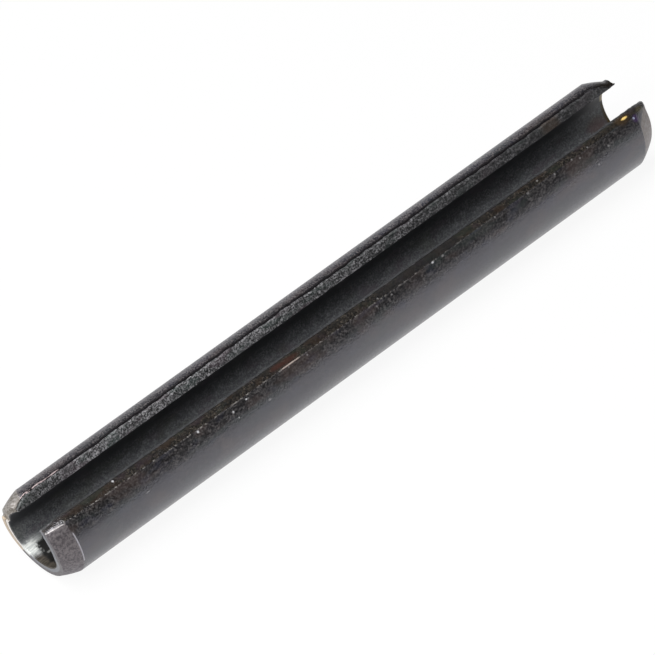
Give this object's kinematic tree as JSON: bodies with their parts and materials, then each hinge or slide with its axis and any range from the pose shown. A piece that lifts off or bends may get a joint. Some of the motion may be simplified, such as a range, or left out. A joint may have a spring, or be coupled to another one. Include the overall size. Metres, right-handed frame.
{
  "type": "slotted spring pin",
  "caption": "Slotted spring pin: a length of blackened spring-steel strip rolled into a C-shaped tube with tapered ends, driven into a drilled hole where it holds by its own springing.",
  "frame": {"origin": "on the pin's axis, halfway along its length", "axes": "+X along the pin's axis, +Z out through the middle of the slot, which is how the pin comes to rest when it is laid down"},
  "size_m": [0.0705, 0.0087, 0.0076],
  "materials": {
    "blackened_steel": "satin"
  },
  "bodies": {
    "root": {"spring_pin": "blackened_steel"}
  },
  "joints": []
}
